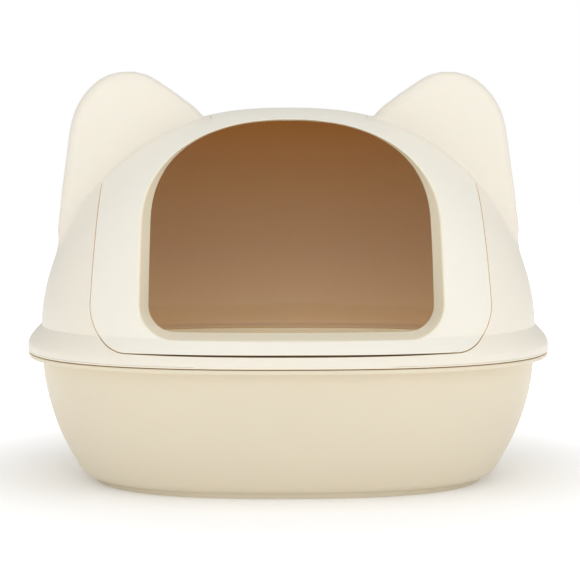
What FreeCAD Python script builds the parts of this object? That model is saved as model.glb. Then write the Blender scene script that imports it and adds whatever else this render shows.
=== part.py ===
"""A cat litter box with a cat-eared hood.

A deep litter tray stands on a foot ring. A domed hood with two hollow ears sits on the tray's
rim. The front of the hood is a separate door with the entrance in it, hinged on two pins in a
notch between the ears, so it swings up for scooping.

Millimetres, +Z up, -Y is the front, and the origin is on the floor under the middle of the tray.
"""

import FreeCAD, Part

import math
import os

import Sketcher
from FreeCAD import Placement, Rotation, Vector

os.makedirs("parts", exist_ok=True)
doc = FreeCAD.newDocument("litter_box")

# ---------------------------------------------------------------- driving dimensions
sheet = doc.addObject("Spreadsheet::Sheet", "dims")
DIMENSIONS = {
    "wall": 3.0,                # skin of every moulding
    "plan_power": 2.5,          # superellipse power of every horizontal section
    "dome_power": 1.72,         # power of the dome's rise
    "dome_half_width": 244.5,
    "dome_half_depth": 196.0,
    "dome_foot": 154.0,         # height where the dome meets the flared skirt
    "dome_top": 365.8,
    "skirt_bottom": 127.9,
    "skirt_flare": 13.2,        # how far the skirt stands out at the sides
    "skirt_shoulder": 134.0,    # height where the flare reaches its full width
    "front_flare_share": 0.66,  # share of that flare at the front and back
    "seat_gap": 0.8,            # hood's seat to the walls of the rim's channel
    "seat_lift": 0.3,           # hood's seat to the floor of the rim's channel
    "seat_thick": 2.5,
    "tray_top": 127.1,
    "tray_half_width": 243.5,
    "tray_half_depth": 190.0,
    "tray_narrowing": 40.5,     # how much narrower the bowl's half width is at its base
    "tray_shortening": 30.0,
    "tray_curve": 2.0,          # power of the bowl's side curve
    "rim_reach": 13.5,          # rim flange beyond the bowl's wall
    "rim_height": 3.8,
    "rim_channel": 1.6,         # depth of the channel in the rim that locates the hood
    "foot_half_width": 193.0,
    "foot_half_depth": 154.0,
    "foot_height": 5.5,
    "foot_wall": 9.0,
    "ear_lean": 9.0,            # degrees back from upright
    "ear_front": -40.0,
    "ear_length": 134.0,
    "door_half_width": 188.0,   # at the height where the side edges start
    "door_taper": 0.06,         # how much the door narrows per mm of height
    "door_bottom": 141.0,
    "door_corner": 42.0,        # height of the rounded lower corners
    "door_corner_width": 34.0,
    "door_back": -50.0,
    "door_side_gap": 0.5,
    "door_bottom_gap": 0.8,
    "door_middle_gap": 2.0,     # the wider gap under the middle of the door
    "tongue_half_width": 76.0,  # the door runs back between the ears
    "ledge_width": 5.0,
    "ledge_gap": 0.4,
    "ledge_wall": 2.6,
    "entrance_half_width": 131.5,
    "entrance_bottom": 159.3,
    "entrance_spring": 255.0,   # height where the arch starts
    "entrance_top": 353.2,
    "entrance_corner": 24.0,
    "entrance_splay": 1.6,      # how much wider the half width is at the bottom
    "entrance_power": 2.38,     # superellipse power of the arch
    "mouth_power": 2.22,
    "mouth_corner": 32.0,
    "frame_reach": 8.6,         # how far the funnel opens out at the sides
    "frame_drop": 6.0,          # and at the bottom
    "frame_rise": 1.5,          # and at the top
    "frame_depth": 20.0,        # funnel depth at the bottom
    "frame_depth_top": 7.0,
    "frame_wall": 2.5,
    "hinge_height": 357.3,
    "hinge_y": 8.0,
    "knuckle_r": 4.0,
    "pin_r": 2.0,
    "pin_clearance": 0.06,
    "knuckle_start": 16.0,
    "knuckle_pitch": 15.2,
    "knuckle_length": 14.8,
    "pin_head_r": 3.2,
    "pin_head": 1.6,
    "notch_back": 20.0,
    "notch_front": 2.0,         # back edge of the door's tongue
}
for row, (alias, value) in enumerate(DIMENSIONS.items(), start=1):
    sheet.set(f"A{row}", alias)
    sheet.set(f"B{row}", str(value))
    sheet.setAlias(f"B{row}", alias)
doc.recompute()


def dim(alias):
    return float(sheet.get(alias))


# ---------------------------------------------------------------- helpers
SECTION_POINTS = 56
FAR = 400.0


def feature(name, shape):
    made = doc.addObject("Part::Feature", name)
    made.Shape = shape
    return made


def boolean(kind, name, base, tool):
    made = doc.addObject(f"Part::{kind}", name)
    made.Base = base
    made.Tool = tool
    return made


def fuse(name, pieces):
    made = doc.addObject("Part::MultiFuse", name)
    made.Shapes = pieces
    return made


def box(name, corner, size):
    """A Part::Box; a size or corner entry may be an expression on the sheet."""
    made = doc.addObject("Part::Box", name)
    for prop, value in zip(("Length", "Width", "Height"), size):
        if isinstance(value, str):
            made.setExpression(prop, value)
        else:
            setattr(made, prop, value)
    for axis, value in zip("xyz", corner):
        if isinstance(value, str):
            made.setExpression(f"Placement.Base.{axis}", value)
        else:
            setattr(made.Placement.Base, axis, value)
    return made


def closed_curve(points):
    curve = Part.BSplineCurve()
    curve.interpolate(points, PeriodicFlag=True)
    return curve.toShape()


def signed_power(value, power):
    return math.copysign(abs(value) ** power, value)


def plan_ring(half_width, half_depth, height):
    """A horizontal superellipse, as a wire."""
    points = []
    for i in range(SECTION_POINTS):
        angle = 2 * math.pi * (i + 0.5) / SECTION_POINTS
        x = half_width * signed_power(math.cos(angle), 2 / dim("plan_power"))
        y = half_depth * signed_power(math.sin(angle), 2 / dim("plan_power"))
        points.append(Vector(x, y, height))
    return Part.Wire([closed_curve(points)])


def plan_prism(half_width, half_depth, low, high):
    face = Part.Face(plan_ring(half_width, half_depth, low))
    return face.extrude(Vector(0, 0, high - low))


# ---------------------------------------------------------------- litter tray
def bowl_section(height, inset):
    """Half width and half depth of the bowl at a height."""
    share = (dim("tray_top") - height) / (dim("tray_top") - dim("foot_height"))
    share = max(0.0, share) ** dim("tray_curve")
    return (
        dim("tray_half_width") - inset - dim("tray_narrowing") * share,
        dim("tray_half_depth") - inset - dim("tray_shortening") * share,
    )


def bowl(inset, floor, top):
    """The bowl as a solid, with a small bevel round its base."""
    bevel = 4.0
    steps = 8
    rings = [plan_ring(*(side - bevel for side in bowl_section(floor, inset)), floor)]
    for i in range(steps + 1):
        height = floor + bevel + (top - floor - bevel) * i / steps
        rings.append(plan_ring(*bowl_section(height, inset), height))
    return Part.makeLoft(rings, True, False)


def build_tray():
    wall, top = dim("wall"), dim("tray_top")
    foot = dim("foot_height")
    outer = feature("bowl_outside", bowl(0, foot, top))
    inner = feature("bowl_inside", bowl(wall, foot + wall, top + 1))
    rim_width = dim("tray_half_width") + dim("rim_reach")
    rim_depth = dim("tray_half_depth") + dim("rim_reach")
    rim = plan_prism(rim_width, rim_depth, top - dim("rim_height"), top)
    low = top - dim("rim_channel")
    channel = plan_prism(rim_width - wall, rim_depth - wall, low, top + 1)
    channel = channel.cut(plan_prism(dim("tray_half_width"), dim("tray_half_depth"), low - 1, top + 2))
    rim_solid = feature("tray_rim", rim.cut(channel))
    foot_out = plan_prism(dim("foot_half_width"), dim("foot_half_depth"), 0, foot + wall / 2)
    foot_in = plan_prism(
        dim("foot_half_width") - dim("foot_wall"), dim("foot_half_depth") - dim("foot_wall"), 0, foot + wall / 2
    )
    ring = feature("foot_ring", foot_out.cut(foot_in))
    solid = fuse("tray_solid", [outer, rim_solid, ring])
    return boolean("Cut", "litter_tray", solid, inner)


# ---------------------------------------------------------------- the dome that hood and door share
def dome_section(height, inset):
    """Half width and half depth of the dome, skirt included, at a height."""
    foot = dim("dome_foot")
    rise = max(0.0, (height - foot) / (dim("dome_top") - inset - foot))
    share = (1 - rise ** dim("dome_power")) ** (1 / dim("plan_power"))
    low = min(1.0, max(0.0, (foot - height) / (foot - dim("skirt_shoulder"))))
    flare = dim("skirt_flare") * math.sin(low * math.pi / 2) ** 1.1
    return (
        (dim("dome_half_width") - inset) * share + flare,
        (dim("dome_half_depth") - inset) * share + flare * dim("front_flare_share"),
    )


def dome(inset, bottom):
    """The dome as a solid down to a height, inset from the outside."""
    foot, top = dim("dome_foot"), dim("dome_top") - inset
    shoulder = min(bottom + 4, foot) if bottom < foot else foot
    heights = [bottom, shoulder] if bottom < foot else []
    heights += [foot - drop for drop in (18, 14.5, 11, 7.5, 4, 1.2) if bottom < foot]
    for degrees in (0, 9, 18, 27, 36, 45, 54, 63, 71, 78, 84, 87.5, 89.2):
        heights.append(foot + (top - foot) * math.sin(math.radians(degrees)) ** (2 / dim("dome_power")))
    return Part.makeLoft([plan_ring(*dome_section(z, inset), z) for z in heights], True, False)


def dome_front(x, z, inset=0.0):
    """Y of the dome's front face at a place in the front view."""
    half_width, half_depth = dome_section(z, inset)
    share = min(1.0, abs(x) / half_width) ** dim("plan_power")
    return -half_depth * (1 - share) ** (1 / dim("plan_power"))


# ---------------------------------------------------------------- ears
EAR_BASE = (140.0, 262.0)
# The ear's outline in the front view, relative to EAR_BASE: inner side, tip, outer side, root.
EAR_OUTLINE = (
    (-79, 61.5), (-56, 98), (-36, 116), (-19, 128), (1, 139.5), (21, 142), (41, 137),
    (56.5, 124.5), (67.5, 108), (74, 88), (78.5, 54), (83.5, 12), (85.5, -25), (70, -70),
    (0, -95), (-70, -50),
)


def ear_share(along):
    """Size of the ear's section at a share of its length from front to back."""
    front_edge = 0.09
    if along < front_edge:
        return 0.93 + 0.07 * math.sin(along / front_edge * math.pi / 2)
    return math.sqrt(max(0.0, 1 - ((along - front_edge) / (1 - front_edge)) ** 2))


def ear(side, inset):
    """One ear as a solid lobe. side is -1 or 1."""
    length = dim("ear_length") - 2 * inset
    front = dim("ear_front") + inset
    sections = []
    for along in (0, 0.03, 0.09, 0.22, 0.36, 0.5, 0.64, 0.76, 0.86, 0.93):
        share = ear_share(along)
        y = front + along * length
        points = []
        for dx, dz in EAR_OUTLINE:
            reach = math.hypot(dx, dz)
            scale = share * (reach - inset) / reach
            points.append(Vector(side * (EAR_BASE[0] + dx * scale), y, EAR_BASE[1] + dz * scale))
        sections.append(Part.Wire([closed_curve(points)]))
    lobe = Part.makeLoft(sections, True, False)
    lobe.rotate(Vector(0, dim("ear_front"), 300), Vector(1, 0, 0), -dim("ear_lean"))
    return lobe


# ---------------------------------------------------------------- door outline and entrance
def door_prism(grow, bottom, back, dip=0.0):
    """The front-view outline of the door, swept back from far in front to y = back.

    dip lowers the middle of the bottom edge.
    """
    half = dim("door_half_width") + grow
    wide, tall = dim("door_corner_width") + grow, dim("door_corner") + grow
    taper = dim("door_taper")
    spring = bottom + tall
    high = dim("dome_top") + 20
    top_half = half - taper * (high - spring)
    front = -FAR
    low_left, low_right = Vector(-half + wide, front, bottom), Vector(half - wide, front, bottom)
    left, right = Vector(-half, front, spring), Vector(half, front, spring)
    top_left, top_right = Vector(-top_half, front, high), Vector(top_half, front, high)

    def corner_arc(side):
        """A quarter ellipse from the side edge down to the bottom edge."""
        points = []
        for i in range(9):
            angle = math.pi / 2 * i / 8
            x = side * (half - wide + wide * math.cos(angle))
            points.append(Vector(x, front, spring - tall * math.sin(angle)))
        curve = Part.BSplineCurve()
        curve.interpolate(points)
        return curve.toShape()

    if dip:
        sill = Part.Arc(low_left, Vector(0, front, bottom - dip), low_right).toShape()
    else:
        sill = Part.makeLine(low_left, low_right)
    edges = [
        sill,
        corner_arc(1),
        Part.makeLine(right, top_right),
        Part.makeLine(top_right, top_left),
        Part.makeLine(top_left, left),
        corner_arc(-1),
    ]
    wire = Part.Wire(Part.sortEdges(edges)[0])
    return Part.Face(wire).extrude(Vector(0, back - front, 0))


def tongue(grow, back):
    """The strip of the door that runs back over the crest between the ears."""
    half = dim("tongue_half_width") + grow
    return Part.makeBox(2 * half, back - dim("door_back") + 12, 60, Vector(-half, dim("door_back") - 12, 325))


def entrance_outline(share, grow=0.0):
    """Front-view points of the entrance, from its throat (share 0) to its mouth (share 1)."""
    side = dim("frame_reach") * share + grow
    bottom_drop = dim("frame_drop") * share + grow
    rise = dim("frame_rise") * share + 0.6 * grow
    power = 2 / (dim("entrance_power") + (dim("mouth_power") - dim("entrance_power")) * share)
    half = dim("entrance_half_width") + side
    bottom = dim("entrance_bottom") - bottom_drop
    spring = dim("entrance_spring")
    arch = dim("entrance_top") + rise - spring
    corner = dim("entrance_corner") + (dim("mouth_corner") - dim("entrance_corner")) * share + grow
    points = []
    arch_steps, corner_steps, side_steps, sill_steps = 12, 4, 3, 6
    for i in range(2 * arch_steps + 1):
        angle = math.pi * i / (2 * arch_steps)
        points.append((half * signed_power(math.cos(angle), power), spring + arch * math.sin(angle) ** power))
    for i in range(1, side_steps):
        points.append((-half, spring + (bottom + corner - spring) * i / side_steps))
    for i in range(corner_steps + 1):
        angle = math.pi + math.pi / 2 * i / corner_steps
        points.append((-half + corner + corner * math.cos(angle), bottom + corner + corner * math.sin(angle)))
    for i in range(1, sill_steps):
        points.append(((2 * i / sill_steps - 1) * (half - corner), bottom))
    for i in range(corner_steps + 1):
        angle = -math.pi / 2 + math.pi / 2 * i / corner_steps
        points.append((half - corner + corner * math.cos(angle), bottom + corner + corner * math.sin(angle)))
    for i in range(1, side_steps):
        points.append((half, bottom + corner + (spring - bottom - corner) * i / side_steps))
    splay = dim("entrance_splay") / half / (spring - bottom)
    return [(x * (1 + splay * max(0.0, spring - z)), z) for x, z in points]


def frame_depth_at(z):
    share = (z - dim("entrance_bottom")) / (dim("entrance_top") - dim("entrance_bottom"))
    share = min(1.0, max(0.0, share))
    return dim("frame_depth") + (dim("frame_depth_top") - dim("frame_depth")) * share


def entrance_frame():
    """The funnel-shaped return round the entrance, as a closed tube of four ruled faces."""
    wall = dim("frame_wall")
    mouth = entrance_outline(1)
    sections = (
        (mouth, 0.2, 0),
        (entrance_outline(0), 0.2, 1),
        (entrance_outline(0, wall), 0.2, 1),
        (entrance_outline(1, wall), 1.6, 0),
    )
    loops = []
    for outline, sink, deep in sections:
        points = []
        for (x, z), (mouth_x, mouth_z) in zip(outline, mouth):
            y = dome_front(mouth_x, mouth_z) + sink + deep * frame_depth_at(z)
            points.append(Vector(x, y, z))
        loops.append(closed_curve(points))
    faces = [Part.makeRuledSurface(loops[i], loops[(i + 1) % 4]) for i in range(4)]
    tube = Part.Solid(Part.Shell([f for ruled in faces for f in ruled.Faces]))
    if tube.Volume < 0:
        tube.reverse()
    return tube


def entrance_hole():
    """What the entrance takes out of the door's skin."""
    outline = entrance_outline(1, 0.5 * dim("frame_wall"))
    wire = Part.Wire([closed_curve([Vector(x, -FAR, z) for x, z in outline])])
    return Part.Face(wire).extrude(Vector(0, FAR - 56, 0))


# ---------------------------------------------------------------- hinge
def knuckle_start(slot):
    return dim("knuckle_start") + slot * dim("knuckle_pitch")


def hinge_cylinder(name, radius, start, length, side):
    """A Part::Cylinder on the hinge axis; radius and length are expressions on the sheet."""
    made = doc.addObject("Part::Cylinder", name)
    made.setExpression("Radius", radius)
    made.setExpression("Height", length)
    made.Placement = Placement(Vector(side * start, 0, 0), Rotation(Vector(0, 1, 0), 90 * side))
    made.setExpression("Placement.Base.y", "dims.hinge_y")
    made.setExpression("Placement.Base.z", "dims.hinge_height")
    return made


def knuckles(owner, slots, reach, post):
    """Knuckles in these slots on both sides, each on a bracket that joins it to the skin.

    reach is the far end of the bracket's arm and post is the thickness of its upright.
    """
    made = []
    axis_y, axis_z, radius = dim("hinge_y"), dim("hinge_height"), dim("knuckle_r")
    length = dim("knuckle_length")
    for side in (-1, 1):
        for slot in slots:
            name = f"{owner}_knuckle_{'left' if side < 0 else 'right'}_{slot}"
            start = knuckle_start(slot)
            made.append(hinge_cylinder(name, "dims.knuckle_r", start, "dims.knuckle_length", side))
            low_x = start if side > 0 else -start - length
            arm_y, post_y = min(axis_y, reach), min(reach, reach - post)
            bottom = axis_z - radius
            arm = box(f"{name}_arm", (low_x, arm_y, bottom), (length, abs(reach - axis_y), radius))
            upright = box(f"{name}_post", (low_x, post_y, bottom), (length, abs(post), 20))
            rough = fuse(f"{name}_bracket", [arm, upright])
            made.append(boolean("Common", f"{name}_rib", rough, just_under_skin))
    return made


def hinge_bores(owner):
    radius = "dims.pin_r + dims.pin_clearance"
    return [
        hinge_cylinder(f"{owner}_bore_{'left' if side < 0 else 'right'}", radius, 10, "55", side)
        for side in (-1, 1)
    ]


def round_pad(body, name, radius, start, length):
    """A round pad along X from start; radius and length are expressions on the sheet."""
    plane = next(f for f in body.Origin.OriginFeatures if f.Role == "YZ_Plane")
    sketch = body.newObject("Sketcher::SketchObject", f"{name}_sketch")
    sketch.AttachmentSupport = (plane, "")
    sketch.MapMode = "FlatFace"
    sketch.AttachmentOffset = Placement(Vector(0, 0, start), Rotation())
    sketch.addGeometry(Part.Circle(Vector(0, 0, 0), Vector(0, 0, 1), 1))
    sketch.addConstraint(Sketcher.Constraint("Coincident", 0, 3, -1, 1))
    index = sketch.addConstraint(Sketcher.Constraint("Radius", 0, 1))
    sketch.setExpression(f"Constraints[{index}]", radius)
    pad = body.newObject("PartDesign::Pad", name)
    pad.Profile = sketch
    pad.setExpression("Length", length)
    sketch.Visibility = False
    return pad


def build_pin(side):
    """A headed hinge pin, its head towards the middle of the hood."""
    name = "hinge_pin_left" if side < 0 else "hinge_pin_right"
    body = doc.addObject("PartDesign::Body", name)
    round_pad(body, f"{name}_head", "dims.pin_head_r", 0, "dims.pin_head")
    round_pad(body, f"{name}_shank", "dims.pin_r", 0, "dims.pin_head + 3 * dims.knuckle_pitch + 1")
    head_start = dim("knuckle_start") - 0.3 - dim("pin_head")
    turn = Rotation(Vector(0, 0, 1), 0 if side > 0 else 180)
    body.Placement = Placement(Vector(side * head_start, dim("hinge_y"), dim("hinge_height")), turn)
    return body


# ---------------------------------------------------------------- door and hood
def build_door():
    outside = feature("door_outside", dome(0, dim("skirt_bottom")))
    inside = feature("door_inside", dome(dim("wall"), dim("skirt_bottom") - 1))
    skin = boolean("Cut", "door_skin", outside, inside)
    outline = fuse("door_outline", [
        feature("door_front_outline", door_prism(0, dim("door_bottom"), dim("door_back"))),
        feature("door_tongue", tongue(0, dim("notch_front"))),
    ])
    panel = boolean("Common", "door_panel", skin, outline)
    open_panel = boolean("Cut", "door_with_entrance", panel, feature("entrance", entrance_hole()))
    frame = feature("entrance_frame", entrance_frame())
    joined = fuse("door_solid", [open_panel, frame] + knuckles("door", (1,), dim("notch_front") - 6, -6))
    return boolean("Cut", "front_door", joined, fuse("door_bores", hinge_bores("door")))


def ledge_ring(reach):
    """The shelf inside the hood that the door's edge rests on."""
    wall, low = dim("wall"), dim("skirt_bottom")
    around = door_prism(reach, dim("door_bottom") - reach, dim("door_back"))
    within = door_prism(-reach, dim("door_bottom") + reach, 0)
    skin = dome(wall - 0.3, low).cut(dome(wall + dim("ledge_wall"), low - 1))
    return skin.common(around).cut(within)


def seat_ring():
    """The hood's seat: a flange inside the skirt with a tongue that drops into the rim's channel."""
    low, gap = dim("skirt_bottom"), dim("seat_gap")
    width, depth = dim("tray_half_width"), dim("tray_half_depth")
    reach = dim("rim_reach") - dim("wall")
    hole = plan_prism(width + gap, depth + gap, low - 10, low + 10)
    flange = plan_prism(width + 40, depth + 40, low, low + dim("seat_thick")).common(dome(1, low))
    floor = dim("tray_top") - dim("rim_channel") + dim("seat_lift")
    drop = plan_prism(width + reach - gap, depth + reach - gap, floor, low + 1)
    return flange.fuse(drop).cut(hole)


def build_hood():
    wall, bottom = dim("wall"), dim("skirt_bottom")
    lobes = [feature(f"ear_outside_{side}", ear(side, 0)) for side in (-1, 1)]
    hollows = [feature(f"ear_inside_{side}", ear(side, wall)) for side in (-1, 1)]
    outside = fuse("hood_outside", [feature("dome_outside", dome(0, bottom))] + lobes)
    inside = fuse("hood_inside", [feature("dome_inside", dome(wall, bottom - 1))] + hollows)
    skin = boolean("Cut", "hood_skin", outside, inside)
    reach = dim("ledge_width")
    ledge = feature("door_ledge", ledge_ring(reach))
    seat = feature("seat", seat_ring())
    solid = fuse("hood_moulding", [skin, ledge, seat])

    gap, back = dim("door_side_gap"), dim("door_back") + dim("door_side_gap")
    sill = dim("door_bottom") - dim("door_bottom_gap")
    pocket = door_prism(gap, sill, back, dim("door_middle_gap") - dim("door_bottom_gap"))
    pocket = feature("door_pocket", pocket.cut(dome(wall + dim("ledge_gap"), bottom - 1)))
    clear = feature("doorway", door_prism(-reach, dim("door_bottom") + reach, back))
    slot = feature("tongue_slot", tongue(gap, dim("notch_back")))
    opened = boolean("Cut", "hood_open", solid, fuse("door_space", [pocket, clear, slot]))
    joined = fuse("hood_solid", [opened] + knuckles("hood", (0, 2), dim("notch_back") + 4, 4))
    return boolean("Cut", "hood", joined, fuse("hood_bores", hinge_bores("hood")))


just_under_skin = feature("just_under_skin", dome(1, 250))
nodes = [build_tray(), build_hood(), build_door(), build_pin(-1), build_pin(1)]
doc.recompute()

for made in doc.Objects:
    if any(word in made.State for word in ("Invalid", "Error")):
        raise RuntimeError(f"{made.Name} did not recompute")
for node in nodes:
    shape = node.Shape
    if shape.isNull() or not shape.isValid():
        raise RuntimeError(f"{node.Label} has no valid shape")
    shape.exportStep(f"parts/{node.Label}.step")
    box_of = shape.BoundBox
    print(node.Label, len(shape.Solids), round(shape.Volume / 1000, 1), "cm3",
          [round(v, 1) for v in (box_of.XMin, box_of.XMax, box_of.YMin, box_of.YMax, box_of.ZMin, box_of.ZMax)])
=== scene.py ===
"""The looks of the cat-eared litter box: its mouldings, their finish, and the studio."""

import math

import bmesh
import bpy
import numpy as np
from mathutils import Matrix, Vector


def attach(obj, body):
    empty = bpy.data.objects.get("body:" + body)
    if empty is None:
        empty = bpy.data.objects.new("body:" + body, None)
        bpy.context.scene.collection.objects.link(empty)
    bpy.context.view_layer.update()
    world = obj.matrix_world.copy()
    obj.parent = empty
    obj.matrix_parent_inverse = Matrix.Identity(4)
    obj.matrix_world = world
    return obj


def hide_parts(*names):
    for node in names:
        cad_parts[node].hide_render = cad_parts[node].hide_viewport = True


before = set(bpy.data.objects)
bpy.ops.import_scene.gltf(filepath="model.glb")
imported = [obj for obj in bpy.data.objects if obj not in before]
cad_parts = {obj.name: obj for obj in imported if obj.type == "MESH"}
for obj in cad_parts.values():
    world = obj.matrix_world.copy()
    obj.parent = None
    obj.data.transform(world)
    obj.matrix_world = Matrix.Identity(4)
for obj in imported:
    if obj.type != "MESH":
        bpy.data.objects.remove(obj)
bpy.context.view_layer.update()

MM = 0.001

# ---------------------------------------------------------------- sizes in mm, as the mouldings are made
WALL = 3.0
PLAN_POWER = 2.5  # superellipse power of a horizontal section
RISE_POWER = 1.72
DOME_W, DOME_D = 244.5, 196.0  # half width and half depth at the dome's foot
DOME_FOOT, DOME_TOP = 154.0, 365.8
SKIRT_Z, SKIRT_SHOULDER = 127.9, 134.0
FLARE, FRONT_FLARE = 13.2, 0.66
CREASE = 3.0  # softness of the valley between ear and dome

TRAY_TOP, TRAY_W, TRAY_D = 127.1, 243.5, 190.0
TRAY_NARROWING_W, TRAY_NARROWING_D = 40.5, 30.0  # how much smaller the bowl is at its foot
RIM_REACH, RIM_LOW = 13.5, 123.3
RIM_W, RIM_D = TRAY_W + RIM_REACH, TRAY_D + RIM_REACH
CHANNEL_Z = TRAY_TOP - 1.6  # bottom of the channel in the rim
FOOT_W, FOOT_D, FOOT_WALL = 193.0, 154.0, 9.0
FOOT_H, FLOOR_Z = 5.5, 8.5  # under and upper side of the tray's floor
FLOOR_W, FLOOR_D = 120.0, 90.0

SEAT_GAP, SEAT_Z = 0.8, CHANNEL_Z + 0.3  # the hood's ring that drops into the channel
SEAT_ROOF = SKIRT_Z + 2.5

EAR_X, EAR_Z = 140.0, 262.0
EAR_FRONT, EAR_LENGTH, EAR_LEAN = -40.0, 134.0, math.radians(9)
EAR_EDGE, EAR_BULGE = 11.0, 3.0  # rounding of the front edge, crown of the front face
EAR_PIVOT_Z = 300.0  # the height that it leans from
EAR_STRAIGHT = 0.09 * EAR_LENGTH  # how far back it keeps its outline
EAR_OUTLINE = (
    (-79, 61.5), (-56, 98), (-36, 116), (-19, 128), (1, 139.5), (21, 142), (41, 137),
    (56.5, 124.5), (67.5, 108), (74, 88), (78.5, 54), (83.5, 12), (85.5, -25), (70, -70),
    (0, -95), (-70, -50),
)

DOOR_HALF, DOOR_TAPER = 188.0, 0.06
DOOR_BOTTOM, DOOR_BACK = 141.0, -50.0
DOOR_CORNER, DOOR_CORNER_WIDE = 42.0, 34.0
SIDE_GAP, BOTTOM_GAP, MIDDLE_GAP = 0.5, 0.8, 1.7
DOORWAY_EDGE, DOOR_EDGE, MOUTH_EDGE, THROAT_EDGE = 0.9, 0.8, 2.6, 0.9  # roundings
LEDGE_REACH, LEDGE_ROOT, LEDGE_DEPTH, LEDGE_GAP = 5.5, 6.5, 2.8, 0.4  # the ledge behind the door's edge
TONGUE_HALF, TONGUE_BACK, SLOT_BACK = 76.0, 2.0, 20.0
HINGE_Y, HINGE_Z, KNUCKLE_R, PIN_R = 8.0, 357.3, 4.0, 2.0
KNUCKLE_START, KNUCKLE_PITCH, KNUCKLE_LENGTH = 16.0, 15.2, 14.8
MOUTH_SIDE, MOUTH_DROP, MOUTH_RISE = 8.6, 6.0, 1.5
ENTRANCE_HALF, ENTRANCE_LOW, ENTRANCE_SPRING, ENTRANCE_TOP = 131.5, 159.3, 255.0, 353.2
ENTRANCE_CORNER, ENTRANCE_POWER, ENTRANCE_SPLAY = 24.0, 2.38, 1.6
MOUTH_CORNER, MOUTH_POWER = 32.0, 2.22
FUNNEL_DEPTH, FUNNEL_DEPTH_TOP, FUNNEL_WALL, FUNNEL_ROOT = 20.0, 7.0, 2.5, 4.0
SEAM_SHADE_END, SEAM_SHADE_FADE = 165.0, 60.0  # how far along the sill the painted seam shade goes


# ---------------------------------------------------------------- shader writing
class Sock:
    """A socket that can be used in Python arithmetic."""

    def __init__(self, shader, socket):
        self.shader, self.socket = shader, socket

    def _maths(self, operation, *values):
        return self.shader.node("ShaderNodeMath", {"operation": operation}, *values)

    def __add__(self, other):
        return self._maths("ADD", self, other)

    def __mul__(self, other):
        return self._maths("MULTIPLY", self, other)

    def __sub__(self, other):
        return self._maths("SUBTRACT", self, other)

    def __rsub__(self, other):
        return self._maths("SUBTRACT", other, self)

    __radd__, __rmul__ = __add__, __mul__


class Shader:
    """A material with one Principled shader, and a short way to add nodes to it."""

    def __init__(self, name):
        self.material = bpy.data.materials.new(name)
        self.material.use_nodes = True
        self.nodes = self.material.node_tree.nodes
        self.links = self.material.node_tree.links
        self.surface = self.nodes["Principled BSDF"]

    def node(self, kind, settings, *values, out=0, **named):
        made = self.nodes.new(kind)
        for key, value in settings.items():
            setattr(made, key, value)
        for key, value in list(enumerate(values)) + list(named.items()):
            key = key.replace("_", " ") if isinstance(key, str) else key
            self.feed(made.inputs[key], value)
        return Sock(self, made.outputs[out])

    def feed(self, target, value):
        if isinstance(value, Sock):
            self.links.new(value.socket, target)
        elif value is not None:
            target.default_value = value

    def mix(self, share, first, second):
        """One colour turning into another."""
        made = self.node("ShaderNodeMix", {"data_type": "RGBA"}, out=2)
        for key, value in ((0, share), (6, first), (7, second)):
            value = [*value, 1.0] if isinstance(value, (list, tuple)) else value
            self.feed(made.socket.node.inputs[key], value)
        return made

    def set(self, **values):
        for key, value in values.items():
            self.feed(self.surface.inputs[key.replace("_", " ")], value)


# painted shade: the brown that edges meeting in a seam get, standing in for the shadow in the gap between
# mouldings
SEAM_SHADE_BROWN = (0.16, 0.10, 0.06)
SEAM_SHADE_STARTS, SEAM_SHADE_FULL = 1.2, 1.9  # values of the attribute between which a seam's painted shade turns brown
CABIN_LOW, CABIN_HIGH = 0.13, 0.36  # heights in metres between which the inside's painted colour goes from light low down to shade high up


def moulded_plastic(name, colour, painted_inside_high=None, painted_inside_low=None, glow=None, roughness=0.42):
    """Polypropylene from a finely eroded mould: even colour, soft sheen and a very fine grain.

    A moulding with an inside gets painted light and shade there: colours from high up to low down
    that stand in for how the inside is lit. The attribute is 0 outside, 1 inside and 2 on the edges that
    meet in a seam, painted brown as shade in the gap. glow is emission painted inside, standing in for
    daylight that comes through the wall: its colour, and the heights where it starts and is full.
    """
    shader = Shader(name)
    place = shader.node("ShaderNodeTexCoord", {}, out=3)
    cloud = shader.node("ShaderNodeTexNoise", {}, place, Scale=9.0, Detail=3.0)
    fine = shader.node("ShaderNodeTexNoise", {}, place, Scale=1400.0, Detail=2.0)
    tint = shader.mix(cloud, [c * 0.975 for c in colour], colour)
    # painted light and shade: the inside gets colours by height, darker high up, that stand in for how it
    # is lit
    if painted_inside_high:
        height = shader.node("ShaderNodeSeparateXYZ", {}, place, out=2)
        up = shader.node("ShaderNodeMapRange", {}, height, CABIN_LOW, CABIN_HIGH)
        inside = shader.node("ShaderNodeAttribute", {"attribute_name": "inside"}, out=2)
        within = shader.node("ShaderNodeMapRange", {}, inside, 0.0, 1.0)
        tint = shader.mix(within, tint, shader.mix(up, painted_inside_low, painted_inside_high))
        # painted shade: edges in a seam turn brown, as if in the gap's shadow
        painted_seam_shade = shader.node("ShaderNodeMapRange", {}, inside, SEAM_SHADE_STARTS, SEAM_SHADE_FULL)
        tint = shader.mix(painted_seam_shade, tint, SEAM_SHADE_BROWN)
        # painted light: emission inside, in a band of heights, standing in for daylight through the wall
        if glow:
            light, start, full = glow
            smooth = {"interpolation_type": "SMOOTHSTEP"}
            band = shader.node("ShaderNodeMapRange", smooth, height, start, full)
            shader.set(Emission_Color=shader.mix(band * within, (0, 0, 0), light), Emission_Strength=1.0)
    bump = shader.node("ShaderNodeBump", {}, Strength=0.06, Distance=0.0004, Height=fine)
    shader.set(Base_Color=tint, Roughness=(cloud - 0.5) * 0.08 + roughness, Normal=bump)
    shader.set(IOR=1.49, Subsurface_Weight=0.12, Subsurface_Scale=0.004)
    shader.surface.inputs["Subsurface Radius"].default_value = (1.0, 0.6, 0.35)
    return shader.material


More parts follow.
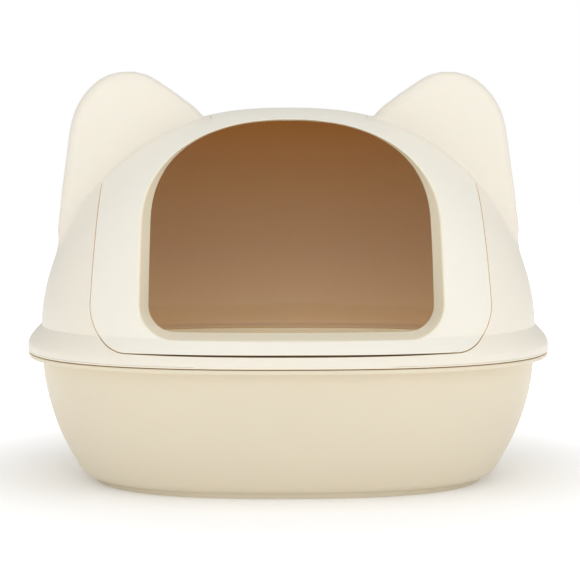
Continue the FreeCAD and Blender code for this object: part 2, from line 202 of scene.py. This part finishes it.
# ---------------------------------------------------------------- surfaces
def flare_at(z):
    """How far the hood's foot flares out at a height."""
    low = np.clip((DOME_FOOT - z) / (DOME_FOOT - SKIRT_SHOULDER), 0, 1)
    return FLARE * np.sin(low * np.pi / 2) ** 1.1


def dome_value(p):
    """Below 0 inside the dome and above 0 outside it."""
    x, y, z = np.abs(p[..., 0]), np.abs(p[..., 1]), p[..., 2]
    flare = flare_at(z)
    rise = np.clip((z - DOME_FOOT) / (DOME_TOP - DOME_FOOT), 0, None) ** RISE_POWER
    size = (x / (DOME_W + flare)) ** PLAN_POWER + (y / (DOME_D + FRONT_FLARE * flare)) ** PLAN_POWER
    return size + rise - 1


def ear_reach_table():
    """The ear outline's reach from its middle at evenly spaced angles."""
    outline = np.array(EAR_OUTLINE, float)
    count = len(outline)
    steps = np.linspace(0, 1, 24, endpoint=False)[:, None]
    pieces = []
    for i in range(count):
        a, b, c, d = (outline[(i + k) % count] for k in (-1, 0, 1, 2))
        square, cube = 2 * a - 5 * b + 4 * c - d, 3 * b - a - 3 * c + d
        pieces.append(0.5 * (2 * b + (c - a) * steps + square * steps**2 + cube * steps**3))
    curve = np.concatenate(pieces)
    angle, reach = np.arctan2(curve[:, 1], curve[:, 0]), np.hypot(curve[:, 0], curve[:, 1])
    order = np.argsort(angle)
    return angle[order], reach[order]


EAR_ANGLES, EAR_REACH = ear_reach_table()


def ear_value(p):
    """Below 0 inside either ear, in mm. The ears mirror each other, so only |x| matters."""
    x = np.abs(p[..., 0]) - EAR_X
    y, z = p[..., 1] - EAR_FRONT, p[..., 2] - EAR_PIVOT_Z
    back = y * math.cos(EAR_LEAN) - z * math.sin(EAR_LEAN)
    up = y * math.sin(EAR_LEAN) + z * math.cos(EAR_LEAN) + EAR_PIVOT_Z - EAR_Z
    reach = np.interp(np.arctan2(up, x), EAR_ANGLES, EAR_REACH, period=2 * np.pi)
    radius = np.hypot(x, up)
    tail = np.clip((back - EAR_STRAIGHT) / (EAR_LENGTH - EAR_STRAIGHT), 0, None)
    side = radius - reach * np.sqrt(np.clip(1 - tail**2, 0, 1)) + np.clip(back - EAR_LENGTH, 0, None)
    front = -back - EAR_BULGE * (1 - np.clip(radius / reach, 0, 1) ** 2)
    # side wall and front face meet in a rounded edge
    a, b = side + EAR_EDGE, front + EAR_EDGE
    return np.hypot(np.clip(a, 0, None), np.clip(b, 0, None)) + np.minimum(np.maximum(a, b), 0) - EAR_EDGE


def distance(value, p):
    """A value turned into mm from its zero surface, by its own slope."""
    step = 0.5
    here = value(p)
    slope = np.zeros(p.shape)
    for axis in range(3):
        moved = p.copy()
        moved[..., axis] += step
        slope[..., axis] = (value(moved) - here) / step
    return here / np.maximum(np.linalg.norm(slope, axis=-1), 1e-5)


def hood_value(p):
    """The dome and both ears in one skin, with a soft valley between them."""
    a, b = distance(dome_value, p), distance(ear_value, p)
    mix = np.clip(0.5 + 0.5 * (b - a) / CREASE, 0, 1)
    return b * (1 - mix) + a * mix - CREASE * mix * (1 - mix)


def normals(value, p):
    """Unit vectors that point out of a surface."""
    step = 0.4
    slope = np.zeros(p.shape)
    for axis in range(3):
        ahead, behind = p.copy(), p.copy()
        ahead[..., axis] += step
        behind[..., axis] -= step
        slope[..., axis] = value(ahead) - value(behind)
    return unit(slope)


def unit(v):
    return v / np.maximum(np.linalg.norm(v, axis=-1, keepdims=True), 1e-9)


HEART = np.array([0.0, 30.0, 190.0])  # every surface is reached once along a ray from here
NEAREST, FARTHEST = 15.0, 420.0  # from the heart to any surface


def cast(value, direction):
    """Where rays from the heart leave a body."""
    low = np.full(direction.shape[:-1], NEAREST)
    high = np.full(direction.shape[:-1], FARTHEST)
    for _ in range(24):
        middle = (low + high) / 2
        inside = value(HEART + direction * middle[..., None]) < 0
        low, high = np.where(inside, middle, low), np.where(inside, high, middle)
    return HEART + direction * low[..., None]


def turned(a, b, share):
    """Directions between a and b, share of the way round."""
    cosine = np.clip((a * b).sum(-1, keepdims=True), -1, 1)
    angle = np.arccos(cosine)
    sine = np.maximum(np.sin(angle), 1e-6)
    return unit((np.sin((1 - share) * angle) * a + np.sin(share * angle) * b) / sine)


BEND_PULL, BORDER = 22.0, 0.35  # how much rows crowd at bends, mm between the two rows at a border


def skin_rows(value, begin, end, rows, first, last):
    """Rows of points over a surface from one loop to another.

    begin and end are loops of points on the surface. The first row stands first mm in from begin,
    and the last row last mm short of end. Rows crowd where the surface bends.
    """
    a, b = unit(begin - HEART), unit(end - HEART)
    shares = np.linspace(0, 1, 320)[:, None, None]
    dense = cast(value, turned(a[None], b[None], shares))
    leg = np.diff(dense, axis=0)
    length = np.linalg.norm(leg, axis=-1)
    walk = np.concatenate([np.zeros((1, length.shape[1])), np.cumsum(length, axis=0)])
    course = unit(leg)
    turn = np.arccos(np.clip((course[1:] * course[:-1]).sum(-1), -1, 1))
    turn = np.concatenate([turn[:1], turn])
    smooth = sum(np.roll(turn, k, axis=0) for k in (-2, -1, 0, 1, 2)) / 5
    cost = np.cumsum(length + BEND_PULL * smooth, axis=0)
    cost = np.concatenate([np.zeros((1, length.shape[1])), cost])
    columns = begin.shape[0]
    share = np.zeros((rows, columns, 1))
    for k in range(columns):
        total = walk[-1, k]
        low = np.interp(first, walk[:, k], cost[:, k])
        high = np.interp(total - last, walk[:, k], cost[:, k])
        inner = np.linspace(low, high, rows - 2)
        at = np.interp(inner, cost[:, k], shares[:, 0, 0])
        near = np.interp([first + BORDER, total - last - BORDER], walk[:, k], shares[:, 0, 0])
        share[:, k, 0] = np.sort(np.concatenate([at, near]))
    return cast(value, turned(a[None], b[None], share))


def corner(point, one, other, radius, steps=4):
    """Rows round a corner: from radius along one to radius along other."""
    made = []
    for i in range(steps + 1):
        s = i / steps
        made.append(point + one * radius * (1 - s) ** 2 + other * radius * s**2)
    return made


def closed_shell(name, rows, close_rows=True, inner=()):
    """A mesh from rows of points that each run round the piece, row after row round its section.

    inner holds each row's share of the painted inside light and shade, 2 for the painted seam shade, kept
    as the attribute that the material reads.
    """
    rows = np.array(rows)
    inner = np.array([np.broadcast_to(share, rows.shape[1]) for share in inner or [0.0] * len(rows)])
    if close_rows:
        rows, inner = np.concatenate([rows, rows[:1]]), np.concatenate([inner, inner[:1]])
    rows, inner = np.concatenate([rows, rows[:, :1]], axis=1), np.concatenate([inner, inner[:, :1]], axis=1)
    high, wide = rows.shape[0] - 1, rows.shape[1] - 1
    bm = bmesh.new()
    bmesh.ops.create_grid(bm, x_segments=wide, y_segments=high, size=0.5)
    inside = bm.verts.layers.float.new("inside")
    for v in bm.verts:
        i, j = round((v.co.y + 0.5) * high), round((v.co.x + 0.5) * wide)
        v.co = Vector(rows[i, j]) * MM
        v[inside] = inner[i, j]
    bmesh.ops.remove_doubles(bm, verts=bm.verts[:], dist=2e-6)
    bmesh.ops.dissolve_degenerate(bm, edges=bm.edges[:], dist=1e-6)
    bmesh.ops.recalc_face_normals(bm, faces=bm.faces[:])
    return finished(bm, name)


def finished(bm, name):
    """The scene object of a bmesh, shaded smooth."""
    mesh = bpy.data.meshes.new(name)
    for face in bm.faces:
        face.smooth = True
    bm.to_mesh(mesh)
    bm.free()
    obj = bpy.data.objects.new(name, mesh)
    bpy.context.scene.collection.objects.link(obj)
    return obj


# ---------------------------------------------------------------- loops on the dome
def dome_y(x, z):
    """Y of the dome's front at a place seen from the front."""
    flare = flare_at(z)
    rise = np.clip((z - DOME_FOOT) / (DOME_TOP - DOME_FOOT), 0, 1) ** RISE_POWER
    left = np.clip(1 - rise - (np.abs(x) / (DOME_W + flare)) ** PLAN_POWER, 0, 1)
    return -(DOME_D + FRONT_FLARE * flare) * left ** (1 / PLAN_POWER)


def dome_z(x, y):
    """Z of the dome's top at a place seen from above."""
    left = 1 - (np.abs(x) / DOME_W) ** PLAN_POWER - (np.abs(y) / DOME_D) ** PLAN_POWER
    return DOME_FOOT + (DOME_TOP - DOME_FOOT) * np.clip(left, 0, 1) ** (1 / RISE_POWER)


# columns of each mesh, from the middle of the sill round to the middle of the tongue
COLUMNS = {"sill": 48, "corner": 26, "side": 42, "shoulder": 34, "tongue_side": 16, "tongue": 26}
SKIRT_TURN = {  # where each stretch ends on the skirt, in degrees from the front
    "sill": 31.7, "corner": 46.0, "side": 95.0, "shoulder": 138.0, "tongue_side": 158.0, "tongue": 180.0,
}
# where each stretch ends round the entrance, as a share of its side and arch
ENTRANCE_SHARE = {"side": 0.42, "shoulder": 0.74, "tongue_side": 0.84, "tongue": 1.0}


def spread(low, high, count):
    """count values from low to high, the last left out."""
    return low + (high - low) * np.arange(count) / count


def mirrored(half):
    """A whole loop from its right half, which starts and ends on the middle plane."""
    left = half[1:-1][::-1].copy()
    left[:, 0] *= -1
    return np.concatenate([half, left])


def doorway_loop(side_gap, bottom_gap, back, tongue_back, dip=0.0):
    """The door's outline, grown by its gaps, as points on the dome. dip lowers the middle of the sill."""
    half, wide, tall = DOOR_HALF + side_gap, DOOR_CORNER_WIDE + side_gap, DOOR_CORNER + side_gap
    tongue = TONGUE_HALF + 0.7 * side_gap
    bottom = DOOR_BOTTOM - bottom_gap
    spring = bottom + tall
    low, high = spring, DOME_TOP
    for _ in range(40):
        z = (low + high) / 2
        inside = dome_y(half - DOOR_TAPER * (z - spring), z) < back
        low, high = (z, high) if inside else (low, z)
    shoulder_z = low
    shoulder_x = half - DOOR_TAPER * (shoulder_z - spring)
    x = spread(0, half - wide, COLUMNS["sill"])
    z = bottom - dip * (1 - (x / (half - wide)) ** 2)
    parts = [np.stack([x, dome_y(x, z), z], -1)]
    turn = spread(-math.pi / 2, 0, COLUMNS["corner"])
    x, z = half - wide + wide * np.cos(turn), spring + tall * np.sin(turn)
    parts.append(np.stack([x, dome_y(x, z), z], -1))
    z = spread(spring, shoulder_z, COLUMNS["side"])
    x = half - DOOR_TAPER * (z - spring)
    parts.append(np.stack([x, dome_y(x, z), z], -1))
    x = tongue + (shoulder_x - tongue) * np.sin(spread(math.pi / 2, 0, COLUMNS["shoulder"]))
    parts.append(np.stack([x, 0 * x + back, dome_z(x, back)], -1))
    y = spread(back, tongue_back, COLUMNS["tongue_side"])
    parts.append(np.stack([0 * y + tongue, y, dome_z(tongue, y)], -1))
    x = np.append(spread(tongue, 0, COLUMNS["tongue"]), 0.0)
    parts.append(np.stack([x, 0 * x + tongue_back, dome_z(x, tongue_back)], -1))
    return mirrored(np.concatenate(parts))


def plan_loop(half_width, half_depth, z):
    """A horizontal superellipse, its points paired with the doorway's."""
    turns, last = [], 0.0
    for name, count in COLUMNS.items():
        turns.append(spread(last, SKIRT_TURN[name], count))
        last = SKIRT_TURN[name]
    turn = np.radians(np.append(np.concatenate(turns), 180.0))
    # straight down from the sill's points
    flat = spread(0, DOOR_HALF - DOOR_CORNER_WIDE, COLUMNS["sill"]) / (DOME_W + FLARE)
    turn[: COLUMNS["sill"]] = np.arcsin(flat ** (PLAN_POWER / 2))
    x = half_width * np.abs(np.sin(turn)) ** (2 / PLAN_POWER)
    y = -half_depth * np.sign(np.cos(turn)) * np.abs(np.cos(turn)) ** (2 / PLAN_POWER)
    x[-1] = 0
    return mirrored(np.stack([x, y, 0 * x + z], -1))


def entrance_loop(share, grow=0.0):
    """The entrance's outline seen from the front, from throat (share 0) to mouth (share 1).

    Its points are paired with the door outline's.
    """
    half = ENTRANCE_HALF + MOUTH_SIDE * share + grow
    low = ENTRANCE_LOW - MOUTH_DROP * share - grow
    arch = ENTRANCE_TOP - ENTRANCE_SPRING + MOUTH_RISE * share + 0.6 * grow
    radius = ENTRANCE_CORNER + (MOUTH_CORNER - ENTRANCE_CORNER) * share + grow
    x = spread(0, half - radius, COLUMNS["sill"])
    parts = [np.stack([x, 0 * x + low], -1)]
    turn = spread(-math.pi / 2, 0, COLUMNS["corner"])
    x, z = half - radius + radius * np.cos(turn), low + radius + radius * np.sin(turn)
    parts.append(np.stack([x, z], -1))
    # the rest is even along the side and the arch
    turn = np.linspace(0, math.pi / 2, 200)
    power = 2 / (ENTRANCE_POWER + (MOUTH_POWER - ENTRANCE_POWER) * share)
    arc = np.stack([half * np.cos(turn) ** power, ENTRANCE_SPRING + arch * np.sin(turn) ** power], -1)
    line = np.concatenate([[[half, low + radius]], arc])
    walk = np.append(0, np.cumsum(np.linalg.norm(np.diff(line, axis=0), axis=1)))
    last, at = 0.0, []
    for name, end in ENTRANCE_SHARE.items():
        at.append(spread(last, end, COLUMNS[name]))
        last = end
    at = np.append(np.concatenate(at), 1.0) * walk[-1]
    parts.append(np.stack([np.interp(at, walk, line[:, 0]), np.interp(at, walk, line[:, 1])], -1))
    outline = np.concatenate(parts)
    fall = np.clip(ENTRANCE_SPRING - outline[:, 1], 0, None) / (ENTRANCE_SPRING - low)
    outline[:, 0] *= 1 + ENTRANCE_SPLAY / half * fall
    return mirrored(outline)


def on_dome_front(outline):
    """An outline seen from the front, laid on the dome."""
    return np.stack([outline[:, 0], dome_y(outline[:, 0], outline[:, 1]), outline[:, 1]], -1)


def deeper(outline, above, sink):
    """An outline set behind points on the dome's front."""
    return np.stack([outline[:, 0], above[:, 1] + sink, outline[:, 1]], -1)


# ---------------------------------------------------------------- hood
def on_hood(loop):
    """A loop of points moved onto the hood's skin."""
    return cast(hood_value, unit(loop - HEART))


def ledge_share(loop):
    """1 where the hood's edge has a ledge behind it, and 0 over the crest."""
    return np.clip((DOOR_BACK - 2 - loop[:, 1]) / 8, 0, 1)[:, None]


def seam_shade_share(loop):
    """How much painted shade, in brown, a seam's edges get: most at the sill, a little at the sides, not at
    all on the crest.
    """
    sill = np.clip((SEAM_SHADE_END - np.abs(loop[:, 0])) / SEAM_SHADE_FADE, 0, 1) * (loop[:, 2] < DOOR_BOTTOM + 3)
    return np.where(loop[:, 1] < DOOR_BACK - 3, SEAM_SHADE_STARTS + 0.75 * sill, 0)


def build_hood():
    """Dome, ears and skirt in one skin, from the doorway's ledge round to the inside."""
    loop = doorway_loop(SIDE_GAP, BOTTOM_GAP, DOOR_BACK + SIDE_GAP, SLOT_BACK, MIDDLE_GAP - BOTTOM_GAP)
    skirt = plan_loop(DOME_W + FLARE, DOME_D + FRONT_FLARE * FLARE, SKIRT_Z)
    skirt_edge = 2.0
    outer = skin_rows(hood_value, loop, skirt, 168, DOORWAY_EDGE, skirt_edge)
    out = normals(hood_value, outer)
    doorway = on_hood(loop)
    away = unit(outer[0] - doorway)
    inward = -normals(hood_value, doorway)
    ledge = ledge_share(doorway)
    edge = corner(doorway, away, inward, DOORWAY_EDGE)[::-1]
    lip = inward * (WALL + LEDGE_GAP * ledge)
    foot = inward * (WALL + LEDGE_DEPTH * ledge)
    step = [
        doorway + away * (LEDGE_ROOT * ledge + 0.4) + foot,
        doorway - away * LEDGE_REACH * ledge + foot,
        doorway - away * LEDGE_REACH * ledge + lip,
        doorway + lip,
    ]
    bottom = corner(skirt, np.array([0, 0, 1.0]), -normals(hood_value, skirt), skirt_edge)
    seat_out = RIM_REACH - WALL - SEAT_GAP
    seat = [
        plan_loop(TRAY_W + seat_out, TRAY_D + seat_out, SKIRT_Z),
        plan_loop(TRAY_W + seat_out, TRAY_D + seat_out, SEAT_Z),
        plan_loop(TRAY_W + SEAT_GAP, TRAY_D + SEAT_GAP, SEAT_Z),
        plan_loop(TRAY_W + SEAT_GAP, TRAY_D + SEAT_GAP, SEAT_ROOF),
        plan_loop(DOME_W + FLARE - WALL, DOME_D + FRONT_FLARE * FLARE - WALL, SEAT_ROOF),
    ]
    inner = [outer[i] - out[i] * WALL for i in range(len(outer) - 4, 2, -3)]
    # each row's share of the painted inside light and shade, and of the painted seam shade under the skirt,
    # in the order of the rows
    seam = seam_shade_share(doorway)
    shares = [1, 1, seam, seam] + [seam, seam, 0.6 * seam, 0.15 * seam, 0]
    shares += [0] * len(outer) + [0, 0, 0.6, 1.4, 2]
    shares += [2, 2, 1, 1, 1] + [1] * len(inner)
    return closed_shell("hood_shell", step + edge + list(outer) + bottom + seat + inner, inner=shares)


# ---------------------------------------------------------------- door
def build_door():
    """The panel with its mouth, the funnel behind it and the tongue that runs back to the hinge."""
    edge = doorway_loop(0, 0, DOOR_BACK, TONGUE_BACK)
    mouth_flat = entrance_loop(1)
    mouth = on_dome_front(mouth_flat)
    share = np.clip((mouth[:, 2] - ENTRANCE_LOW) / (ENTRANCE_TOP - ENTRANCE_LOW), 0, 1)
    depth = FUNNEL_DEPTH + (FUNNEL_DEPTH_TOP - FUNNEL_DEPTH) * share
    throat = deeper(entrance_loop(0), mouth, depth)
    throat_back = deeper(entrance_loop(0, FUNNEL_WALL), mouth, depth)
    root = deeper(entrance_loop(1, FUNNEL_WALL), mouth, FUNNEL_ROOT)
    face = skin_rows(dome_value, mouth, edge, 46, MOUTH_EDGE, DOOR_EDGE)
    out = normals(dome_value, face)
    start = cast(dome_value, unit(mouth - HEART))
    finish = cast(dome_value, unit(edge - HEART))
    along, funnel = unit(face[0] - start), unit(throat - mouth)
    lip = corner(throat, -funnel, unit(throat_back - throat), THROAT_EDGE)[::-1]
    funnel_rows = [throat + (mouth - throat) * s for s in (0.08, 0.25, 0.5, 0.75)]
    mouth_edge = corner(start, funnel, along, MOUTH_EDGE, 6)
    last = unit(finish - face[-1])
    inward = -normals(dome_value, finish)
    rim = corner(finish, -last, inward, DOOR_EDGE)
    inner = [face[i] - out[i] * WALL for i in range(len(face) - 2, 3, -3)]
    back = [finish - last * 0.2 + inward * WALL]
    rows = lip + funnel_rows + mouth_edge + list(face) + rim + back + inner + [root, throat_back]
    # each row's share of the painted inside light and shade and of the painted seam shade, in the order of
    # the rows
    seam = seam_shade_share(edge)
    shares = [1.0] * (len(lip) + len(funnel_rows)) + [1, 1, 0.9, 0.7, 0.4, 0.1, 0] + [0] * len(face)
    shares += [0, 0.15 * seam, 0.6 * seam, seam, seam, seam] + [1] * (len(inner) + 2)
    return closed_shell("door_panel", rows, inner=shares)


# ---------------------------------------------------------------- tray
def bowl_size(z, inset):
    """Half width and half depth of the bowl at a height, inset from its outside."""
    share = max(0.0, (TRAY_TOP - z) / (TRAY_TOP - FOOT_H)) ** 2
    return TRAY_W - inset - TRAY_NARROWING_W * share, TRAY_D - inset - TRAY_NARROWING_D * share


def rounded(points):
    """A section's points, each (half width, half depth, height, corner radius), with corners rounded."""
    made = []
    for i, (*place, radius) in enumerate(points):
        here = np.array(place)
        if radius == 0 or i in (0, len(points) - 1):
            made.append(here)
            continue
        before, after = (np.array(points[i + k][:3]) for k in (-1, 1))
        made += corner(here, unit(before - here), unit(after - here), radius, 4)
    return made


def on_rim(row):
    """Whether a row lies in the rim's channel or on its top, which the hood covers."""
    width, height = row[:, 0].max(), row[0, 2]
    return height > TRAY_TOP - 2 and TRAY_W - 0.1 < width < RIM_W - 0.5


def build_tray():
    """The tray's section, from the middle underneath round the foot and rim to the middle inside."""
    ring_w, ring_d = FOOT_W - FOOT_WALL, FOOT_D - FOOT_WALL
    low = bowl_size(FOOT_H, 4.5)
    section = [
        (2, 1.5, FOOT_H, 0), (FLOOR_W, FLOOR_D, FOOT_H, 0), (ring_w, ring_d, FOOT_H, 1.5),
        (ring_w, ring_d, 0, 1.5), (FOOT_W, FOOT_D, 0, 1.6), (FOOT_W, FOOT_D, FOOT_H, 0.6),
        (*low, FOOT_H, 1.5),
    ]
    for z in (9.5, 13, 18, 25, 33, 42, 52, 62, 72, 82, 92, 102, 112, 120):
        section.append((*bowl_size(z, 0), z, 0))
    rim_w, rim_d = RIM_W - WALL, RIM_D - WALL
    section += [
        (TRAY_W, TRAY_D, RIM_LOW, 1.2), (RIM_W, RIM_D, RIM_LOW, 1.3), (RIM_W, RIM_D, TRAY_TOP, 0.9),
        (rim_w, rim_d, TRAY_TOP, 0.4), (rim_w, rim_d, CHANNEL_Z, 0.5), (TRAY_W, TRAY_D, CHANNEL_Z, 0.5),
        (TRAY_W, TRAY_D, TRAY_TOP, 0.5), (TRAY_W - WALL, TRAY_D - WALL, TRAY_TOP, 1.2),
    ]
    for z in (124, 112, 98, 84, 70, 56, 44, 34, 26, 20, 15):
        section.append((*bowl_size(z, WALL), z, 0))
    low = bowl_size(FLOOR_Z, WALL + 5)
    section += [(*low, FLOOR_Z, 3), (FLOOR_W, FLOOR_D, FLOOR_Z, 0), (2, 1.5, FLOOR_Z, 0)]
    turn = np.linspace(0, 2 * math.pi, 360, endpoint=False)
    power = 2 / PLAN_POWER
    round_x = np.sign(np.cos(turn)) * np.abs(np.cos(turn)) ** power
    round_y = np.sign(np.sin(turn)) * np.abs(np.sin(turn)) ** power
    rows = [np.stack([w * round_x, d * round_y, 0 * turn + z], -1) for w, d, z in rounded(section)]
    middle = [np.stack([0 * turn, 0 * turn, 0 * turn + z], -1) for z in (FOOT_H, FLOOR_Z)]
    rows = [middle[0]] + rows + [middle[1]]
    top = max(i for i, row in enumerate(rows) if row[0, 2] > TRAY_TOP - 0.01)
    # the inside gets the painted inside light; the rim's channel and top, under the hood, get the painted
    # seam shade
    shares = [1.0 if i >= top else 2.0 if on_rim(row) else 0.0 for i, row in enumerate(rows)]
    return closed_shell("tray_shell", rows, close_rows=False, inner=shares)


# ---------------------------------------------------------------- hinge
def along_x(name, sections):
    """A round turned piece on the hinge's axis from (x, radius) pairs, closed across its ends."""
    turn = np.linspace(0, 2 * math.pi, 40, endpoint=False)
    rows = [
        np.stack([0 * turn + x, HINGE_Y + r * np.cos(turn), HINGE_Z + r * np.sin(turn)], -1)
        for x, r in sections
    ]
    return closed_shell(name, rows)


def knuckle(name, low, high):
    """A short tube round the pin, with its rims rounded."""
    bore = PIN_R + 0.1
    return along_x(name, [
        (low, bore + 0.3), (low, KNUCKLE_R - 0.4), (low + 0.12, KNUCKLE_R - 0.12),
        (low + 0.4, KNUCKLE_R), (high - 0.4, KNUCKLE_R),
        (high - 0.12, KNUCKLE_R - 0.12), (high, KNUCKLE_R - 0.4), (high, bore + 0.3),
        (high - 0.3, bore), (low + 0.3, bore),
    ])


def bracket(name, low, high, reach, post):
    """The knuckle's arm, and the upright that joins it to the skin above."""
    shy, under_skin = 0.3, 1.2
    arm, upright = sorted((HINGE_Y, reach)), sorted((reach, reach - post))
    bm = bmesh.new()
    for (front, back), is_arm in ((arm, True), (upright, False)):
        made = bmesh.ops.create_cube(bm, size=1.0)
        for v in made["verts"]:
            x = low + shy + (high - low - 2 * shy) * (v.co.x + 0.5)
            y = front + (back - front) * (v.co.y + 0.5)
            roof = HINGE_Z - 0.5 if is_arm else dome_z(x, y) - under_skin
            foot = HINGE_Z - KNUCKLE_R + (0.0 if is_arm else 0.02)
            v.co = Vector((x, y, roof if v.co.z > 0 else foot)) * MM
        edges = list({e for v in made["verts"] for e in v.link_edges})
        bmesh.ops.bevel(
            bm, geom=edges, offset=0.5 * MM, segments=3, affect="EDGES", profile=0.5, material=-1,
            clamp_overlap=True,
        )
    return finished(bm, name)


def pin(name, side):
    """A headed pin through three knuckles, its head towards the middle."""
    head, end = KNUCKLE_START - 1.9, KNUCKLE_START + 3 * KNUCKLE_PITCH + 0.7
    neck, shank = head + 1.6, PIN_R - 0.1
    profile = [
        (head, 0.001), (head, 2.7), (head + 0.15, 3.05), (head + 0.5, 3.2), (head + 1.3, 3.2),
        (neck, 3.1), (neck, shank), (end - 0.6, shank), (end - 0.2, 1.7), (end, 1.3), (end, 0.001),
    ]
    return along_x(name, [(side * x, r) for x, r in profile])


# ---------------------------------------------------------------- finish
# colours after the first are painted light and shade inside: the tray's inside lighter, the hood's dark
# high up and light low down, the door's funnel darker; glow is emission painted inside for daylight through
# the wall
tray_cream = moulded_plastic("tray_cream", (0.77, 0.69, 0.535), (0.97, 0.92, 0.80), (0.97, 0.92, 0.80),
                             ((0.17, 0.135, 0.065), 0.09, 0.12))
hood_cream = moulded_plastic("hood_cream", (0.85, 0.80, 0.695), (0.52, 0.21, 0.03), (0.95, 0.78, 0.56),
                             ((0.045, 0.024, 0.010), 0.24, 0.13))
door_cream = moulded_plastic("door_cream", (0.865, 0.83, 0.735), (0.80, 0.71, 0.52), (0.84, 0.78, 0.62))
pin_cream = moulded_plastic("pin_cream", (0.72, 0.66, 0.56), roughness=0.36)

dress = [
    (build_tray(), tray_cream, "tray", "litter_tray", "tray_plastic"),
    (build_hood(), hood_cream, "hood", "hood", "hood_plastic"),
    (build_door(), door_cream, "door", "front_door", "door_plastic"),
]
for side, word in ((-1, "left"), (1, "right")):
    for slot_number in range(3):
        start = KNUCKLE_START + slot_number * KNUCKLE_PITCH
        low = start if side > 0 else -start - KNUCKLE_LENGTH
        high = low + KNUCKLE_LENGTH
        if slot_number == 1:  # the middle knuckle of each three is the door's
            owner, finish, node, reach, post = "door", door_cream, "front_door", TONGUE_BACK - 6, -6
        else:
            owner, finish, node, reach, post = "hood", hood_cream, "hood", SLOT_BACK + 4, 4
        tag = f"{owner}_knuckle_{word}_{slot_number}"
        for made in (knuckle(tag, low, high), bracket(f"{tag}_bracket", low, high, reach, post)):
            dress.append((made, finish, owner, node, f"{owner}_plastic"))
    dress.append((pin(f"pin_{word}", side), pin_cream, "hood", f"hinge_pin_{word}", "pin_plastic"))

for obj, material, body, node, slot in dress:
    obj.data.materials.append(material)
    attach(obj, body)
    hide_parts(node)


# ---------------------------------------------------------------- studio
def aimed(obj, place, target):
    """An object put in the scene at a place, looking at another place."""
    bpy.context.scene.collection.objects.link(obj)
    obj.location = place
    obj.rotation_euler = (Vector(target) - Vector(place)).to_track_quat("-Z", "Y").to_euler()


def soft_light(name, place, size, power):
    """A wide white panel aimed at the box."""
    data = bpy.data.lights.new(name, "AREA")
    data.shape, data.size, data.size_y = "RECTANGLE", size[0], size[1]
    data.energy = power
    aimed(bpy.data.objects.new(name, data), place, (0, 0, 0.2))


soft_light("key", (-0.15, -2.5, 1.5), (2.2, 1.4), 11.5)
soft_light("top", (0.1, -0.5, 2.6), (2.4, 2.0), 18)
soft_light("side", (1.9, -1.4, 1.2), (1.2, 1.4), 3)

world = bpy.data.worlds.new("studio")
world.use_nodes = True
sky = world.node_tree.nodes["Background"]
sky.inputs["Color"].default_value = (1, 1, 1, 1)
# the backdrop is pure white to the camera, and dimmer as a light
path = world.node_tree.nodes.new("ShaderNodeLightPath")
strength = world.node_tree.nodes.new("ShaderNodeMapRange")
strength.inputs["To Min"].default_value = 0.54
strength.inputs["To Max"].default_value = 1.0
world.node_tree.links.new(path.outputs["Is Camera Ray"], strength.inputs["Value"])
world.node_tree.links.new(strength.outputs["Result"], sky.inputs["Strength"])
bpy.context.scene.world = world

bm = bmesh.new()
bmesh.ops.create_grid(bm, x_segments=1, y_segments=1, size=6)
floor = finished(bm, "floor")
paper = Shader("white_paper")
paper.set(Base_Color=(0.93, 0.93, 0.93, 1), Roughness=0.9)
# the sheet is lit up away from the box, so it has no far edge
place = paper.node("ShaderNodeTexCoord", {}, out=3)
away = paper.node("ShaderNodeVectorMath", {"operation": "LENGTH"}, place, out=1)
glow = paper.node("ShaderNodeMapRange", {"interpolation_type": "SMOOTHSTEP"}, away, 0.26, 0.62)
paper.set(Emission_Color=paper.mix(glow, (0.24, 0.24, 0.24), (1, 1, 1)), Emission_Strength=0.7)
floor.data.materials.append(paper.material)

camera = bpy.data.objects.new("camera", bpy.data.cameras.new("camera"))
aimed(camera, (-0.045, -2.2, 0.367), (0.002, 0, 0.184))
camera.data.lens = 137.0
camera.data.sensor_width = 36.0
bpy.context.scene.camera = camera
bpy.context.scene.view_settings.view_transform = "Standard"
